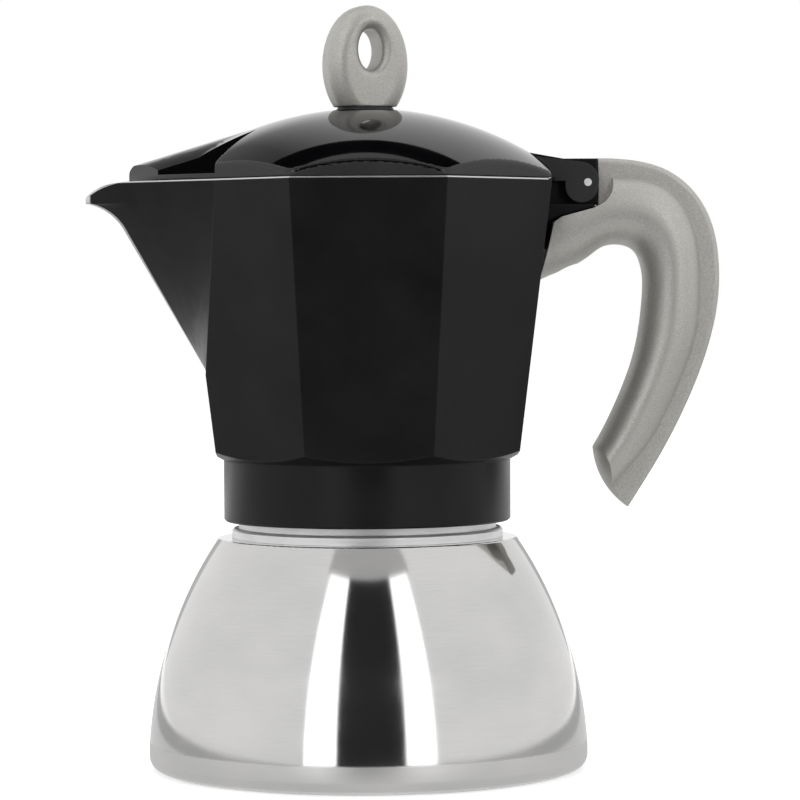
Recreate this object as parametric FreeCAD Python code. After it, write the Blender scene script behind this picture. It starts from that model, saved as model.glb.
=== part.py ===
import FreeCAD, Part
import math
import os

# Stove-top moka pot, millimetres, +Z up, origin on the table under the pot's axis.
# The spout points along -X, the handle along +X and the safety valve along +Y.

Vec = FreeCAD.Vector
UP = Vec(0, 0, 1)
ACROSS = Vec(0, 1, 0)

# Boiler
boiler_height = 60.7
base_radius = 57.75
base_edge_round = 3.5
base_inner_round = 0.6
bell_foot_height = 6.0
bell_middle_inset = 5.1
bell_middle_height = 33.2
shoulder_radius = 39.2
shoulder_round = 1.0
shell_wall = 1.0
layer_gap = 0.1
liner_wall = 1.6

# Neck and screw thread
neck_radius = 33.9
neck_height = 15.9
neck_bore_radius = 29.2
neck_clearance = 0.3
neck_edge_chamfer = 0.5
ring_radius = 35.65
ring_height = 2.5
ring_chamfer = 0.6
thread_pitch = 3.0
thread_depth = 1.2
thread_turns = 2.0
thread_root_width = 1.9
thread_crest_width = 0.8
thread_gap = 0.3
thread_top_margin = 1.4
thread_relief = 0.5
ridge_overlap = 0.4

# Seals and funnel
funnel_sheet = 0.8
funnel_rim_radius = 32.5
funnel_rim_thickness = 1.0
basket_clearance = 0.6
basket_depth = 22.0
funnel_cone_drop = 11.0
stem_radius = 4.6
stem_floor_gap = 4.0
gasket_outer_radius = 32.6
gasket_inner_radius = 27.0
gasket_thickness = 3.4
filter_radius = 32.2
filter_thickness = 0.8
plate_clearance = 0.3
plate_thickness = 0.8
hole_radius = 0.7
hole_spacing = 4.6
filter_hole_rings = 5

# Collector
collar_gap = 1.9
collar_radius = 37.7
collar_height = 16.0
collar_chamfer = 0.5
collector_height = 73.0
collector_foot_apothem = 39.1
collector_rim_apothem = 47.85
collector_foot_slope = 0.545
collector_wall = 2.6
collector_floor = 5.2
ceiling_recess_radius = 25.5
ceiling_recess_depth = 2.2
column_height = 52.0
column_foot_radius = 8.5
column_top_radius = 5.2
column_bore_radius = 3.2
column_cap = 3.0
outlet_width = 3.4
outlet_height = 5.5

# Spout
spout_reach = 25.5
spout_tip_drop = 5.6
spout_flare_out = 15.6
spout_flare_drop = 12.5
spout_length = 50.2
spout_crease_inset = 9.15
spout_nose_width = 2.2
spout_nose_wall = 3.6
spout_root_sink = 0.03
flare_steps = 12
flare_knee = 0.72
lip_start = 13.9
lip_bulge = 1.3
lip_turn = 15.0

# Hinge
pin_out = 10.0
pin_drop = 0.75
pin_radius = 1.0
pin_fit = 0.02
pin_running_fit = 0.06
pin_end_stand = 0.15
lug_width = 9.8
lug_rise = 6.3
lug_front = 2.7
lug_back = 6.5
lug_foot_rise = 0.3
ear_gap = 0.35
ear_thickness = 3.5
ear_end_radius = 4.3
ear_end_back = 1.65
ear_end_drop = 1.0
ear_rise = 5.3
ear_root_back = 16.0
ear_root_rise = 7.9
ear_arm_rise = 0.4
ear_sweep_gap = 0.45
shelf_front = 1.8
shelf_edge = 0.55
shelf_bend = 6.8
shelf_middle = 2.75
shelf_root = 5.25

# Handle
tang_width = 8.0
tang_front = 0.3
tang_drop = 17.0
tang_shoulder = 3.5
handle_fit = 0.3
handle_width = 21.0
handle_pocket_gap = 0.45
handle_tip_radius = 21.0
handle_edge_round = 1.4
fin_root = 0.45
screw_back = 4.8
screw_shank_radius = 1.9
screw_head_radius = 2.7
screw_head_height = 2.2
screw_web = 2.0
screw_reach = 7.5
screw_fit = 0.1

# Lid
lid_gap = 0.25
lid_edge_height = 1.4
lid_dome_radius = 85.0
lid_wall = 1.5
lid_corner_round = 4.0
lid_edge_round = 2.2
lid_flange = 1.2
cover_half_width = 12.6
cover_arch_rise = 3.6
cover_ridge_slope = 0.305
cover_ridge_sink = 0.05
cover_nose_round = 3.0
cover_nose_out = 14.15
cover_shoulder_out = 6.1
cover_notch_back = 10.4

# Knob
knob_seat_radius = 7.5
knob_washer_radius = 7.2
knob_washer_thickness = 0.5
knob_height = 26.4
knob_half_width = 10.9
knob_half_height = 15.6
knob_thickness = 13.0
knob_edge_round = 4.6
knob_hole_half_width = 3.3
knob_hole_half_height = 5.4
knob_hole_drop = 11.6
knob_hole_round = 2.2
knob_turn = 17.0
knob_screw_radius = 2.0
knob_screw_head_radius = 4.0
knob_screw_head_height = 2.0
knob_screw_reach = 6.0

# Safety valve
valve_height = 42.0
valve_shank_radius = 4.4
valve_hole_fit = 0.25
valve_seat_gap = 0.05
valve_washer_radius = 7.2
valve_washer_thickness = 1.0
valve_hex_flats = 13.0
valve_hex_height = 4.0
valve_nose_radius = 5.2
valve_nose_height = 3.6
valve_shank_inside = 4.6
valve_nut_flats = 12.0
valve_nut_height = 2.6
valve_nut_gap = 0.6
valve_chamber_radius = 3.0
valve_orifice_radius = 1.5
valve_seat_thickness = 1.2
piston_head_height = 2.2
piston_stem_radius = 1.3
piston_fit = 0.08
piston_end_stand = 1.6
piston_travel = 1.5
valve_cap_thickness = 1.6
valve_cap_fit = 0.02
spring_wire_radius = 0.3
spring_turns = 5
spring_end_gap = 0.05

# Levels and places that follow from the sizes above
ring_top = boiler_height + ring_height
mouth_level = boiler_height + neck_height
collar_bottom = ring_top + collar_gap
collar_top = collar_bottom + collar_height
rim_level = collar_top + collector_height
ceiling_level = mouth_level + funnel_rim_thickness + gasket_thickness + filter_thickness
floor_level = ceiling_level + collector_floor
lid_level = rim_level + lid_gap
lid_corner_reach = (collector_rim_apothem - lid_corner_round) / math.cos(math.pi / 8) + lid_corner_round
lid_sag = lid_dome_radius - math.sqrt(lid_dome_radius ** 2 - lid_corner_reach ** 2)
lid_apex = lid_level + lid_edge_height + lid_sag
lid_rise = lid_apex - rim_level
dome_centre = lid_apex - lid_dome_radius
cover_ridge_angle = math.atan(cover_ridge_slope)
cover_ridge_start = lid_dome_radius * math.sin(cover_ridge_angle)
cover_ridge_level = dome_centre + lid_dome_radius * math.cos(cover_ridge_angle) - cover_ridge_sink
knob_foot = lid_apex + knob_washer_thickness
knob_top = knob_foot + knob_height
knob_middle = knob_top - knob_half_height
pin_x = collector_rim_apothem + pin_out
pin_z = rim_level - pin_drop
lug_half = lug_width / 2
ear_inner = lug_half + ear_gap
ear_outer = ear_inner + ear_thickness
wall_inset = shell_wall + layer_gap
boiler_wall = wall_inset + liner_wall
thread_bottom = mouth_level - thread_top_margin - thread_pitch * thread_turns
nut_thread_bottom = thread_bottom - thread_pitch / 2
basket_radius = neck_bore_radius - basket_clearance
basket_floor = mouth_level - basket_depth
stem_bottom = boiler_wall + stem_floor_gap
spout_foot = rim_level - spout_length
screw_seat = pin_z - tang_drop - screw_web
valve_inner_end = -(boiler_wall + valve_shank_inside)
valve_hex_bottom = valve_seat_gap + valve_washer_thickness
valve_hex_top = valve_hex_bottom + valve_hex_height
valve_outer_end = valve_hex_top + valve_nose_height
piston_foot = valve_inner_end + valve_seat_thickness
valve_cap_foot = valve_outer_end - valve_cap_thickness


# Shape helpers

def wire_of(points):
    """Closed wire through points joined by straight lines."""
    return Part.makePolygon(list(points) + [points[0]])


def face_of(points):
    return Part.Face(wire_of(points))


def side_face(points):
    """Face in the XZ plane from (x, z) pairs."""
    return face_of([Vec(x, 0, z) for x, z in points])


def turned(points):
    """Solid of revolution about Z from (radius, height) pairs."""
    return side_face(points).revolve(Vec(0, 0, 0), UP, 360)


def slab(face, low, high):
    """Solid from a face in the XZ plane, from y = low to y = high."""
    part = face.extrude(ACROSS * (high - low))
    part.translate(ACROSS * low)
    return part


def upright(radius, low, high, x=0, y=0):
    return Part.makeCylinder(radius, high - low, Vec(x, y, low), UP)


def tube(outer, inner, low, high):
    return upright(outer, low, high).cut(upright(inner, low, high))


def across(radius, low, high, x, z):
    """Cylinder along Y."""
    return Part.makeCylinder(radius, high - low, Vec(x, low, z), ACROSS)


def mirrored(shape):
    """The shape and its mirror image in the XZ plane."""
    return shape.fuse(shape.mirror(Vec(0, 0, 0), ACROSS))


def hexagon(flats, low, high):
    corner = flats / math.sqrt(3)
    points = [Vec(corner * math.cos(math.radians(60 * k)), corner * math.sin(math.radians(60 * k)), low)
              for k in range(6)]
    return face_of(points).extrude(UP * (high - low))


def edges_where(shape, test):
    return [edge for edge in shape.Edges if test(edge)]


def upright_edge(edge):
    return abs(edge.tangentAt(edge.FirstParameter).z) > 0.99


def circles_at(shape, radius, level):
    """Circular edges about Z of one radius at one level."""
    def fits(edge):
        curve = edge.Curve
        if not isinstance(curve, Part.Circle):
            return False
        return abs(curve.Radius - radius) < 1e-4 and abs(curve.Center.z - level) < 1e-4
    return edges_where(shape, fits)


def circle_through(a, b, c):
    """Centre and radius of the circle through three (x, z) points."""
    circle = Part.Circle(Vec(a[0], 0, a[1]), Vec(b[0], 0, b[1]), Vec(c[0], 0, c[1]))
    return circle.Center.x, circle.Center.z, circle.Radius


def spline(points):
    curve = Part.BSplineCurve()
    curve.interpolate([Vec(x, 0, z) for x, z in points])
    return curve.toShape()


def ellipse_wire(centre, one, two):
    """Ellipse of two halves with two given half axes, split at the ends of the first."""
    third = one.cross(two)
    matrix = FreeCAD.Matrix(one.x, two.x, third.x, centre.x,
                            one.y, two.y, third.y, centre.y,
                            one.z, two.z, third.z, centre.z,
                            0, 0, 0, 1)
    halves = [Part.makeCircle(1, Vec(0, 0, 0), UP, start, start + 180) for start in (0, 180)]
    return Part.Wire([half.transformGeometry(matrix).Edges[0] for half in halves])


def segment(a, b):
    return Part.makeLine(Vec(a[0], 0, a[1]), Vec(b[0], 0, b[1]))


# Boiler

bell_x, bell_z, bell_radius = circle_through(
    (shoulder_radius, boiler_height),
    (base_radius - bell_middle_inset, bell_middle_height),
    (base_radius, bell_foot_height))


def bell_radius_at(level, inset=0.0):
    return bell_x + math.sqrt((bell_radius - inset) ** 2 - (level - bell_z) ** 2)


def bell(inset):
    """Solid bell, the boiler's outside moved inward by the inset."""
    top = boiler_height - inset
    middle = (bell_foot_height + top) / 2
    wall_x = bell_radius_at(bell_foot_height, inset)
    corner = max(base_inner_round, base_edge_round - inset)
    bend = corner * (1 - math.sqrt(0.5))
    flat_end = Vec(wall_x - corner, 0, inset)
    wall_start = Vec(wall_x, 0, inset + corner)
    wall_end = Vec(wall_x, 0, bell_foot_height)
    top_edge = Vec(bell_radius_at(top, inset), 0, top)
    edges = [
        Part.makeLine(Vec(0, 0, inset), flat_end),
        Part.Arc(flat_end, Vec(wall_x - bend, 0, inset + bend), wall_start).toShape(),
        Part.makeLine(wall_start, wall_end),
        Part.Arc(wall_end, Vec(bell_radius_at(middle, inset), 0, middle), top_edge).toShape(),
        Part.makeLine(top_edge, Vec(0, 0, top)),
        Part.makeLine(Vec(0, 0, top), Vec(0, 0, inset)),
    ]
    return Part.Face(Part.Wire(edges)).revolve(Vec(0, 0, 0), UP, 360)


def valve_place():
    """Placement of the valve: its axis stands square on the bell's far side."""
    radius = bell_radius_at(valve_height)
    outward = Vec(0, radius - bell_x, valve_height - bell_z)
    return FreeCAD.Placement(Vec(0, radius, valve_height), FreeCAD.Rotation(UP, outward))


def placed_valve_piece(shape):
    piece = shape.copy()
    piece.Placement = valve_place().multiply(piece.Placement)
    return piece


def valve_hole():
    reach = 3 * boiler_wall
    return placed_valve_piece(upright(valve_shank_radius + valve_hole_fit, -reach, reach))


def helical_ridge(base_radius_of_ridge, crest_radius, base_width, crest_width, start_level):
    """Thread ridge with straight flanks, running up from the start level."""
    section = wire_of([
        Vec(base_radius_of_ridge, 0, start_level - base_width / 2),
        Vec(crest_radius, 0, start_level - crest_width / 2),
        Vec(crest_radius, 0, start_level + crest_width / 2),
        Vec(base_radius_of_ridge, 0, start_level + base_width / 2),
    ])
    path = Part.makeHelix(thread_pitch, thread_pitch * thread_turns, crest_radius)
    path.translate(UP * start_level)
    sweep = Part.BRepOffsetAPI.MakePipeShell(Part.Wire(path.Edges))
    sweep.setFrenetMode(True)
    sweep.add(section)
    sweep.build()
    sweep.makeSolid()
    return sweep.shape()


def thread_width(radius):
    """Width of the neck's thread ridge at a radius."""
    slope = (thread_root_width - thread_crest_width) / thread_depth
    return thread_crest_width + (neck_radius - radius) * slope


def nut_width(radius):
    """Width of the collar's thread ridge at a radius."""
    return thread_pitch - thread_width(radius) - 2 * thread_gap


def make_boiler_shell():
    opening = upright(neck_radius + neck_clearance, boiler_height / 2, boiler_height + ring_height)
    outside = bell(0)
    outside = outside.makeFillet(shoulder_round, circles_at(outside, shoulder_radius, boiler_height))
    return outside.cut(bell(shell_wall)).cut(opening).cut(valve_hole())


def make_boiler_liner():
    root = neck_radius - thread_depth
    thread_foot = nut_thread_bottom - nut_width(neck_radius) / 2 - thread_relief
    neck = turned([
        (0, boiler_height - wall_inset - liner_wall / 2),
        (neck_radius, boiler_height - wall_inset - liner_wall / 2),
        (neck_radius, boiler_height),
        (ring_radius, boiler_height),
        (ring_radius, ring_top - ring_chamfer),
        (ring_radius - ring_chamfer, ring_top),
        (neck_radius, ring_top),
        (neck_radius, thread_foot - thread_depth / 2),
        (root, thread_foot),
        (root, mouth_level - neck_edge_chamfer),
        (root - neck_edge_chamfer, mouth_level),
        (0, mouth_level),
    ])
    base = root - ridge_overlap
    ridge = helical_ridge(base, neck_radius, thread_width(base), thread_crest_width, thread_bottom)
    bore = upright(neck_bore_radius, boiler_height - boiler_wall - liner_wall, mouth_level + neck_height)
    body = bell(wall_inset).fuse(neck).fuse(ridge)
    return body.cut(bell(boiler_wall)).cut(bore).cut(valve_hole())


# Safety valve, built along +Z from the boiler's outer face and then placed

def make_valve_body():
    body = hexagon(valve_hex_flats, valve_hex_bottom, valve_hex_top)
    body = body.fuse(upright(valve_nose_radius, valve_hex_top, valve_outer_end))
    body = body.fuse(upright(valve_shank_radius, valve_inner_end, valve_hex_bottom))
    chamber = upright(valve_chamber_radius, piston_foot, valve_outer_end)
    orifice = upright(valve_orifice_radius, valve_inner_end, piston_foot)
    return placed_valve_piece(body.cut(chamber).cut(orifice))


def make_valve_washer():
    bore = valve_shank_radius + valve_hole_fit
    return placed_valve_piece(tube(valve_washer_radius, bore, valve_seat_gap, valve_hex_bottom))


def make_valve_nut():
    top = -(boiler_wall + valve_nut_gap)
    nut = hexagon(valve_nut_flats, top - valve_nut_height, top)
    bore = upright(valve_shank_radius + screw_fit, top - valve_nut_height, top)
    return placed_valve_piece(nut.cut(bore))


def make_valve_piston():
    head = upright(valve_chamber_radius - piston_fit, piston_foot, piston_foot + piston_head_height)
    stem = upright(piston_stem_radius, piston_foot, valve_outer_end + piston_end_stand)
    return placed_valve_piece(head.fuse(stem))


def make_valve_cap():
    bore = piston_stem_radius + piston_fit
    cap = tube(valve_chamber_radius - valve_cap_fit, bore, valve_cap_foot, valve_outer_end)
    return placed_valve_piece(cap)


def helix_path(radius, rise, turns):
    """Helix of quarter-turn pairs of tangent arcs, from z = 0 up."""
    def place(angle):
        return Vec(radius * math.cos(angle), radius * math.sin(angle), rise * angle / (2 * math.pi * turns))

    def heading(angle):
        step = Vec(-radius * math.sin(angle), radius * math.cos(angle), rise / (2 * math.pi * turns))
        return step.normalize()

    def arc_from(start, direction, end):
        chord = end - start
        side = direction - chord * (direction.dot(chord) / chord.dot(chord))
        half_turn = direction.getAngle(chord)
        bulge = chord.Length / 2 * math.tan(half_turn / 2)
        return Part.Arc(start, start + chord * 0.5 + side.normalize() * bulge, end).toShape()

    edges = []
    for quarter in range(4 * turns):
        a = quarter * math.pi / 2
        b = a + math.pi / 2
        span = place(b) - place(a)
        both = heading(a) + heading(b)
        spread = 2 * (1 - heading(a).dot(heading(b)))
        along = span.dot(both)
        reach = (math.sqrt(along ** 2 + spread * span.dot(span)) - along) / spread
        joint = (place(a) + place(b) + (heading(a) - heading(b)) * reach) * 0.5
        edges.append(arc_from(place(a), heading(a), joint))
        edges.append(arc_from(place(b), heading(b) * -1, joint))
    return Part.Wire(Part.__sortEdges__(edges))


def make_valve_spring():
    clear = spring_wire_radius + spring_end_gap
    foot = piston_foot + piston_head_height + clear
    rise = valve_cap_foot - clear - foot
    radius = (piston_stem_radius + valve_chamber_radius) / 2
    path = helix_path(radius, rise, spring_turns)
    start = path.Edges[0].valueAt(path.Edges[0].FirstParameter)
    section = Part.Wire(Part.Circle(start, path.Edges[0].tangentAt(path.Edges[0].FirstParameter),
                                    spring_wire_radius).toShape())
    sweep = Part.BRepOffsetAPI.MakePipeShell(path)
    sweep.add(section)
    sweep.build()
    sweep.makeSolid()
    spring = sweep.shape()
    points = path.discretize(40 * spring_turns)
    turn = len(points) // spring_turns
    gap = min(a.distanceToPoint(b) for i, a in enumerate(points) for b in points[i + turn // 2:])
    print("valve spring, least gap between turns: %.2f" % (gap - 2 * spring_wire_radius))
    spring.translate(UP * foot)
    return placed_valve_piece(spring)


# Funnel and seals

def perforated(disc, rings, level):
    """The disc with rings of small holes round a middle hole."""
    holes = [upright(hole_radius, level - 5, level + 5)]
    for ring in range(1, rings + 1):
        count = 6 * ring
        for k in range(count):
            angle = 2 * math.pi * k / count
            x = ring * hole_spacing * math.cos(angle)
            y = ring * hole_spacing * math.sin(angle)
            holes.append(upright(hole_radius, level - 5, level + 5, x, y))
    return disc.cut(Part.makeCompound(holes))


def funnel_cone_lift():
    """Height that the cone's inner face stands above its outer face."""
    run = basket_radius - stem_radius
    return funnel_sheet * math.hypot(run, funnel_cone_drop) / run


def make_funnel():
    stem_top = basket_floor - funnel_cone_drop
    lift = funnel_cone_lift()
    slope = funnel_cone_drop / (basket_radius - stem_radius)
    inner = basket_radius - funnel_sheet
    stem_inner = stem_radius - funnel_sheet
    rim_top = mouth_level + funnel_rim_thickness
    return turned([
        (stem_inner, stem_bottom),
        (stem_radius, stem_bottom),
        (stem_radius, stem_top),
        (basket_radius, basket_floor),
        (basket_radius, mouth_level),
        (funnel_rim_radius, mouth_level),
        (funnel_rim_radius, rim_top),
        (inner, rim_top),
        (inner, basket_floor + lift - funnel_sheet * slope),
        (stem_inner, stem_top + lift - funnel_sheet * slope),
    ])


def make_funnel_plate():
    level = basket_floor + funnel_cone_lift()
    radius = basket_radius - funnel_sheet - plate_clearance
    rings = int((radius - 2 * hole_radius) / hole_spacing)
    return perforated(upright(radius, level, level + plate_thickness), rings, level)


def make_gasket():
    foot = mouth_level + funnel_rim_thickness
    return tube(gasket_outer_radius, gasket_inner_radius, foot, foot + gasket_thickness)


def make_filter_plate():
    foot = ceiling_level - filter_thickness
    return perforated(upright(filter_radius, foot, ceiling_level), filter_hole_rings, foot)


# Collector

def apothem(level):
    share = (level - collar_top) / collector_height
    return collector_foot_apothem + share * (collector_rim_apothem - collector_foot_apothem)


def keel_points():
    """Spout keel as (reach, level): straight, then flaring out to the tip, then up to the rim."""
    foot = (apothem(spout_foot), spout_foot)
    flare = (collector_rim_apothem + spout_flare_out, rim_level - spout_flare_drop)
    tip = (collector_rim_apothem + spout_reach, rim_level - spout_tip_drop)
    heading = math.atan2(flare[1] - foot[1], flare[0] - foot[0])
    chord_angle = math.atan2(tip[1] - flare[1], tip[0] - flare[0])
    chord = math.hypot(tip[0] - flare[0], tip[1] - flare[1])
    turn = 2 * (heading - chord_angle)
    radius = chord / 2 / math.sin(turn / 2)
    centre_x = flare[0] + radius * math.sin(heading)
    centre_z = flare[1] - radius * math.cos(heading)
    points = [foot]
    for step in range(flare_steps + 1):
        angle = heading - turn * step / flare_steps
        points.append((centre_x - radius * math.sin(angle), centre_z + radius * math.cos(angle)))
    return points


def octagon(level, inset):
    a = apothem(level) - inset
    t = a * math.tan(math.pi / 8)
    corners = [(-t, -a), (t, -a), (a, -t), (a, t), (t, a), (-t, a), (-a, t), (-a, -t)]
    return [Vec(x, y, level) for x, y in corners]


def octagonal_solid(low, high, inset):
    """Eight-sided body with flat leaning sides."""
    lower = octagon(low, inset)
    upper = octagon(high, inset)
    faces = [face_of(lower), face_of(upper)]
    for k in range(8):
        n = (k + 1) % 8
        faces.append(face_of([lower[k], lower[n], upper[n], upper[k]]))
    return Part.makeSolid(Part.makeShell(faces))


def plain_keel(level):
    """Reach of the keel's straight part, carried on to a level."""
    foot, flare = keel_points()[:2]
    return foot[0] + (level - foot[1]) * (flare[0] - foot[0]) / (flare[1] - foot[1])


def crease(level, inset, foot):
    """Distances from the axis to the line on the octagon's slanting side where the spout leaves it."""
    a = apothem(level) - inset
    share = (level - foot) / (rim_level - foot)
    x = a - share * spout_crease_inset
    return x, a * math.sqrt(2) - x


def spout_section(level, inset, foot, keel_reach, plain_reach):
    """Spout at one level: creases on the octagon's sides, knees where the flare starts, keel, inside points."""
    crease_x, crease_y = crease(level, inset + spout_root_sink, foot)
    half = spout_nose_width / 2
    back = collector_foot_apothem / 2
    knee_x = crease_x + (plain_reach - crease_x) * flare_knee
    knee_y = crease_y + (half - crease_y) * flare_knee
    corners = [(-crease_x, -crease_y), (-knee_x, -knee_y), (-keel_reach, -half), (-keel_reach, half),
               (-knee_x, knee_y), (-crease_x, crease_y), (-back, half), (-back, -half)]
    return wire_of([Vec(x, y, level) for x, y in corners])


def spout_start(inset, nose_wall):
    """Level where the spout, with its sides and nose moved inward, leaves the octagon."""
    keel = keel_points()
    slope = (keel[1][0] - keel[0][0]) / (keel[1][1] - keel[0][1])
    lean = (collector_rim_apothem - collector_foot_apothem) / collector_height
    return spout_foot + (nose_wall - inset) / (slope - lean)


def beyond_creases(top, inset, nose_wall):
    """Space on the spout's side of its two creases, where the spout takes the octagon's place."""
    foot = spout_start(inset, nose_wall)
    far = collector_rim_apothem + spout_reach
    low_x = crease(foot, inset + spout_root_sink / 2, foot)[0]
    high_x = crease(top, inset + spout_root_sink / 2, foot)[0]
    return slab(side_face([(-low_x, foot), (-high_x, top), (-far, top), (-far, foot)]), -far, far)


def spout_solid(top, inset, nose_wall):
    """Spout drawn out of the octagon, its inset sides and nose moved inward."""
    keel = keel_points()
    foot = spout_start(inset, nose_wall)
    root = apothem(foot) - inset - spout_root_sink
    sections = [spout_section(foot, inset, foot, root, root)]
    for reach, level in keel[1:] + [(keel[-1][0], top)]:
        plain = plain_keel(level) - nose_wall
        sections.append(spout_section(level, inset, foot, reach - nose_wall, plain))
    return Part.makeLoft(sections, True, True)


def drawn_out(octagonal, top, inset, nose_wall):
    """Octagonal solid whose spout side is drawn out into the spout."""
    return octagonal.cut(beyond_creases(top, inset, nose_wall)).fuse(spout_solid(top, inset, nose_wall))


def body_outside():
    return drawn_out(octagonal_solid(collar_top, rim_level, 0), rim_level, 0, 0)


def body_inside():
    """Inside of the collector and its spout, open above the rim."""
    above = rim_level + collector_wall
    hollow = octagonal_solid(floor_level, above, collector_wall)
    return drawn_out(hollow, above, collector_wall, spout_nose_wall)


def underside():
    """Everything above the cone under the octagon."""
    far = 2 * (collector_rim_apothem + spout_reach)
    return turned([
        (0, collar_top),
        (collar_radius, collar_top),
        (far, collar_top + (far - collar_radius) * collector_foot_slope),
        (far, rim_level + far),
        (0, rim_level + far),
    ])


def lip_cut():
    """What is ground away above the pouring lip, turned a little to one side."""
    start = (-(collector_rim_apothem + lip_start), rim_level)
    tip = (-(collector_rim_apothem + spout_reach), rim_level - spout_tip_drop + spout_nose_width / 2)
    middle = ((start[0] + tip[0]) / 2 - lip_bulge / 2, (start[1] + tip[1]) / 2 + lip_bulge)
    slope = (tip[1] - middle[1]) / (tip[0] - middle[0])
    beyond = (tip[0] - spout_reach, tip[1] - 1.5 * slope * spout_reach)
    edges = [
        Part.Arc(Vec(start[0], 0, start[1]), Vec(middle[0], 0, middle[1]), Vec(tip[0], 0, tip[1])).toShape(),
        segment(tip, beyond),
        segment(beyond, (beyond[0], rim_level + spout_reach)),
        segment((beyond[0], rim_level + spout_reach), (start[0], rim_level + spout_reach)),
        segment((start[0], rim_level + spout_reach), start),
    ]
    cut = slab(Part.Face(Part.Wire(edges)), -spout_reach, spout_reach)
    cut.rotate(Vec(start[0], 0, start[1]), UP, lip_turn)
    return cut


def at_pin(points):
    """Side outline given from the hinge pin's axis."""
    return [(pin_x + x, pin_z + z) for x, z in points]


def bracket(grow):
    """Hinge lug, shelf and tang on the collector's wall, all grown by a clearance."""
    root = collector_rim_apothem - collector_wall - pin_x
    shelf_top = -(ear_end_drop + ear_end_radius + ear_sweep_gap)
    lug = side_face(at_pin([
        (root, lug_foot_rise), (-lug_back, lug_foot_rise), (-lug_back, lug_rise), (lug_front, lug_rise),
        (lug_front, shelf_top), (root, shelf_top - shelf_edge)]))
    shelf = side_face(at_pin([
        (root, shelf_top), (shelf_front, shelf_top), (shelf_front, shelf_top - shelf_edge),
        (-shelf_bend, shelf_top - shelf_middle), (root, shelf_top - shelf_root)]))
    tang = side_face(at_pin([
        (root, shelf_top), (shelf_front, shelf_top), (shelf_front, shelf_top - tang_shoulder),
        (-tang_front, shelf_top - 1.5 * tang_shoulder), (-tang_front, -tang_drop), (root, -tang_drop)]))
    pieces = []
    for face, half in ((lug, lug_half), (shelf, ear_outer), (tang, tang_width / 2)):
        outline = face.makeOffset2D(grow) if grow else face
        pieces.append(slab(outline, -half - grow, half + grow))
    return pieces[0].fuse(pieces[1]).fuse(pieces[2])


def make_collector():
    body = body_outside().common(underside())
    collar = upright(collar_radius, collar_bottom, collar_top + collector_foot_slope)
    collar = collar.makeChamfer(collar_chamfer, circles_at(collar, collar_radius, collar_bottom))
    body = body.fuse(collar).fuse(bracket(0))
    body = body.cut(body_inside()).cut(lip_cut())
    column_top = floor_level + column_height
    column = turned([
        (0, floor_level - 1), (column_foot_radius, floor_level - 1), (column_foot_radius, floor_level),
        (column_top_radius, column_top - column_top_radius / 2), (column_top_radius / 2, column_top),
        (0, column_top)])
    body = body.fuse(column)
    bore_radius = neck_radius + neck_clearance
    recess = turned([
        (0, ceiling_level), (ceiling_recess_radius, ceiling_level),
        (ceiling_recess_radius - ceiling_recess_depth, ceiling_level + ceiling_recess_depth),
        (0, ceiling_level + ceiling_recess_depth)])
    body = body.cut(upright(bore_radius, collar_bottom - 1, ceiling_level)).cut(recess)
    outlet_top = column_top - column_cap
    body = body.cut(upright(column_bore_radius, ceiling_level, outlet_top))
    outlet = Part.makeBox(outlet_width, 2 * column_foot_radius, outlet_height,
                          Vec(-outlet_width / 2, -column_foot_radius, outlet_top - outlet_height))
    body = body.cut(outlet)
    ridge_base = bore_radius + ridge_overlap
    ridge_crest = neck_radius - thread_depth + thread_gap
    ridge = helical_ridge(ridge_base, ridge_crest, nut_width(ridge_base), nut_width(ridge_crest),
                          nut_thread_bottom)
    body = body.fuse(ridge)
    body = body.cut(across(pin_radius + pin_fit, -ear_outer, ear_outer, pin_x, pin_z))
    screw_hole = upright(screw_shank_radius + screw_fit, screw_seat,
                         pin_z - tang_drop + screw_reach + screw_fit, pin_x - screw_back)
    return body.cut(screw_hole).removeSplitter()


def make_hinge_pin():
    reach = ear_outer + pin_end_stand
    return across(pin_radius, -reach, reach, pin_x, pin_z)


# Handle

handle_outer_edge = [(3.0, 6.4), (10.8, 6.0), (21.0, 3.3), (27.9, -2.0), (32.6, -9.9), (34.7, -20.5),
                     (34.7, -28.4), (32.3, -41.5), (26.4, -57.3), (18.2, -73.1), (11.0, -84.6), (7.8, -89.8)]
# Grip sections: where the grip's inner side and its crease with the fin lie
grip_sections = [((-14.5, -27.4), (-13.0, -3.0)), ((-5.9, -22.8), (-5.0, -1.0)), ((2.8, -17.7), (5.0, 1.2)),
                 ((7.8, -16.2), (14.2, 0.9)), ((12.6, -18.0), (22.7, -2.9)), ((14.4, -22.0), (28.0, -11.5)),
                 ((14.9, -27.0), (29.7, -23.5)), ((14.1, -36.2), (29.2, -36.0)), ((11.9, -46.7), (25.4, -49.4)),
                 ((7.9, -57.2), (19.7, -61.9)), ((2.6, -67.7), (12.7, -72.4)), ((-5.5, -82.5), (3.2, -87.2))]
tip_middle = (22.6, -68.0)
tip_heading = (-0.88, -0.47)
front_gap_line = [(-14.0, -34.0), (-12.2, -24.2), (-10.4, -16.4), (-9.1, -10.4), (-6.8, -8.9), (1.8, -6.6),
                  (1.8, 12.0)]


def fin():
    """Thin outer band of the handle, rooted inside the grip."""
    outer = at_pin(handle_outer_edge)
    inner = at_pin([(a[0] + (b[0] - a[0]) * fin_root, a[1] + (b[1] - a[1]) * fin_root)
                    for a, b in grip_sections])
    edges = [spline(outer), segment(outer[-1], inner[-1]), spline(inner), segment(inner[0], outer[0])]
    outline = Part.Face(Part.Wire(Part.__sortEdges__(edges)))
    band = slab(outline, -lug_half, lug_half)
    middle = spline(outer).valueAt(spline(outer).LastParameter / 2)
    rounded = edges_where(band, lambda e: e.distToShape(Part.Vertex(middle))[0] < lug_half + 0.1
                          and isinstance(e.Curve, Part.BSplineCurve))
    return band.makeFillet(handle_edge_round, rounded)


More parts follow.
